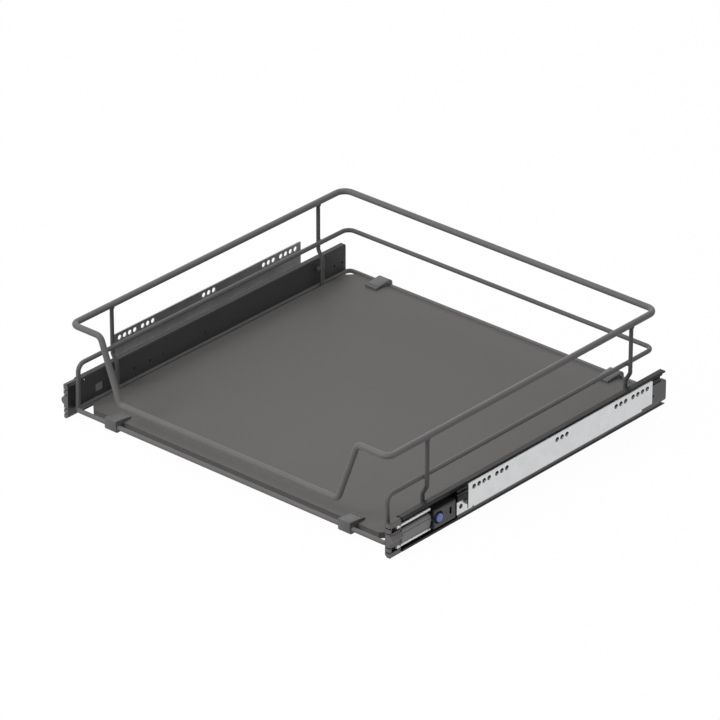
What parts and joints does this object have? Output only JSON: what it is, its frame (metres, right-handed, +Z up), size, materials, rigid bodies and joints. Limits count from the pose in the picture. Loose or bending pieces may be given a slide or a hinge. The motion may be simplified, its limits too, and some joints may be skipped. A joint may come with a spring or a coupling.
{
  "type": "pull-out cabinet drawer",
  "caption": "Wire basket drawer with a tray board, hung between full-extension ball-bearing slides on stepped wall brackets, with a height adjuster behind each front bracket.",
  "frame": {"origin": "bottom centre of the closed drawer's bounding box, midway between the two cabinet walls", "axes": "+X to the right of someone who stands in front, +Y to the rear of the cabinet, +Z up; the drawer pulls out along -Y"},
  "size_m": [0.568, 0.5106, 0.1305],
  "materials": {
    "wire_coat": "satin grey powder coat",
    "tray_grey": "matt melamine facing",
    "clip_plastic": "fine moulded grain",
    "profile_dark": "satin dark coat on rolled steel",
    "profile_grey": "satin grey coat on rolled steel",
    "galvanised": "galvanised sheet",
    "cage_steel": "plain strip",
    "ball_steel": "polished balls",
    "bright_rod": "bright drawn rod",
    "bracket_grey": "satin die casting",
    "tongue_grey": "satin moulding",
    "housing_dark": "fine moulded grain",
    "wheel_blue": "smooth moulding",
    "pin_red": "smooth moulding",
    "buffer_rubber": "matt rubber"
  },
  "bodies": {
    "cabinet_mount": {"right_wall_bracket": "galvanised", "right_bracket_rivets": "galvanised", "right_cabinet_profile": "profile_grey", "right_rear_buffer": "buffer_rubber", "left_wall_bracket": "galvanised", "left_bracket_rivets": "galvanised", "left_cabinet_profile": "profile_grey", "left_rear_buffer": "buffer_rubber"},
    "drawer": {"top_rail": "wire_coat", "mid_rail": "wire_coat", "base_frame": "wire_coat", "tray_board": "tray_grey", "front_right_upright": "wire_coat", "front_right_clip": "clip_plastic", "rear_right_upright": "wire_coat", "rear_right_clip": "clip_plastic", "right_drawer_profile": "profile_dark", "right_basket_bushes": "wire_coat", "right_closing_buffer": "buffer_rubber", "right_adjuster_housing": "housing_dark", "right_housing_rivets": "galvanised", "right_index_pin": "pin_red", "front_left_upright": "wire_coat", "front_left_clip": "clip_plastic", "rear_left_upright": "wire_coat", "rear_left_clip": "clip_plastic", "left_drawer_profile": "profile_dark", "left_basket_bushes": "wire_coat", "left_closing_buffer": "buffer_rubber", "left_adjuster_housing": "housing_dark", "left_housing_rivets": "galvanised", "left_index_pin": "pin_red"},
    "right_middle": {"right_middle_profile": "profile_grey"},
    "right_outer_ball_cage": {"right_outer_cage": "cage_steel", "right_outer_balls": "ball_steel"},
    "right_inner_ball_cage": {"right_inner_cage": "cage_steel", "right_inner_balls": "ball_steel"},
    "right_adjuster": {"right_adjust_wheel": "wheel_blue", "right_crank": "galvanised"},
    "right_front_carrier": {"right_front_bracket": "bracket_grey", "right_tongue": "tongue_grey", "right_guide_rods": "bright_rod"},
    "left_middle": {"left_middle_profile": "profile_grey"},
    "left_outer_ball_cage": {"left_outer_cage": "cage_steel", "left_outer_balls": "ball_steel"},
    "left_inner_ball_cage": {"left_inner_cage": "cage_steel", "left_inner_balls": "ball_steel"},
    "left_adjuster": {"left_adjust_wheel": "wheel_blue", "left_crank": "galvanised"},
    "left_front_carrier": {"left_front_bracket": "bracket_grey", "left_tongue": "tongue_grey", "left_guide_rods": "bright_rod"}
  },
  "joints": [
    {"name": "drawer_slide", "type": "slide", "parent": "cabinet_mount", "child": "drawer", "axis": [0, -1, 0], "range_m": [0, 0.49]},
    {"name": "right_middle_slide", "type": "slide", "parent": "cabinet_mount", "child": "right_middle", "axis": [0, -1, 0], "range_m": [0, 0.245]},
    {"name": "right_outer_cage_slide", "type": "slide", "parent": "cabinet_mount", "child": "right_outer_ball_cage", "axis": [0, -1, 0], "range_m": [0, 0.3675]},
    {"name": "right_inner_cage_slide", "type": "slide", "parent": "cabinet_mount", "child": "right_inner_ball_cage", "axis": [0, -1, 0], "range_m": [0, 0.1225]},
    {"name": "right_adjust_turn", "type": "hinge", "parent": "drawer", "child": "right_adjuster", "pos_m": [0.2633, -0.17525, 0.02425], "axis": [-1, 0, 0], "range_deg": [-42, 42]},
    {"name": "right_front_lift", "type": "slide", "parent": "drawer", "child": "right_front_carrier", "axis": [0, 0, 1], "range_m": [-0.002, 0.002]},
    {"name": "left_middle_slide", "type": "slide", "parent": "cabinet_mount", "child": "left_middle", "axis": [0, -1, 0], "range_m": [0, 0.245]},
    {"name": "left_outer_cage_slide", "type": "slide", "parent": "cabinet_mount", "child": "left_outer_ball_cage", "axis": [0, -1, 0], "range_m": [0, 0.3675]},
    {"name": "left_inner_cage_slide", "type": "slide", "parent": "cabinet_mount", "child": "left_inner_ball_cage", "axis": [0, -1, 0], "range_m": [0, 0.1225]},
    {"name": "left_adjust_turn", "type": "hinge", "parent": "drawer", "child": "left_adjuster", "pos_m": [-0.2633, -0.17525, 0.02425], "axis": [-1, 0, 0], "range_deg": [-42, 42]},
    {"name": "left_front_lift", "type": "slide", "parent": "drawer", "child": "left_front_carrier", "axis": [0, 0, 1], "range_m": [-0.002, 0.002]}
  ],
  "couplings": [
    {"joint": "right_middle_slide", "follows": "drawer_slide", "ratio": 0.5},
    {"joint": "right_outer_cage_slide", "follows": "drawer_slide", "ratio": 0.75},
    {"joint": "right_inner_cage_slide", "follows": "drawer_slide", "ratio": 0.25},
    {"joint": "right_adjust_turn", "follows": "right_front_lift", "rad_per_m": 366.5},
    {"joint": "left_middle_slide", "follows": "drawer_slide", "ratio": 0.5},
    {"joint": "left_outer_cage_slide", "follows": "drawer_slide", "ratio": 0.75},
    {"joint": "left_inner_cage_slide", "follows": "drawer_slide", "ratio": 0.25},
    {"joint": "left_adjust_turn", "follows": "left_front_lift", "rad_per_m": 366.5}
  ]
}
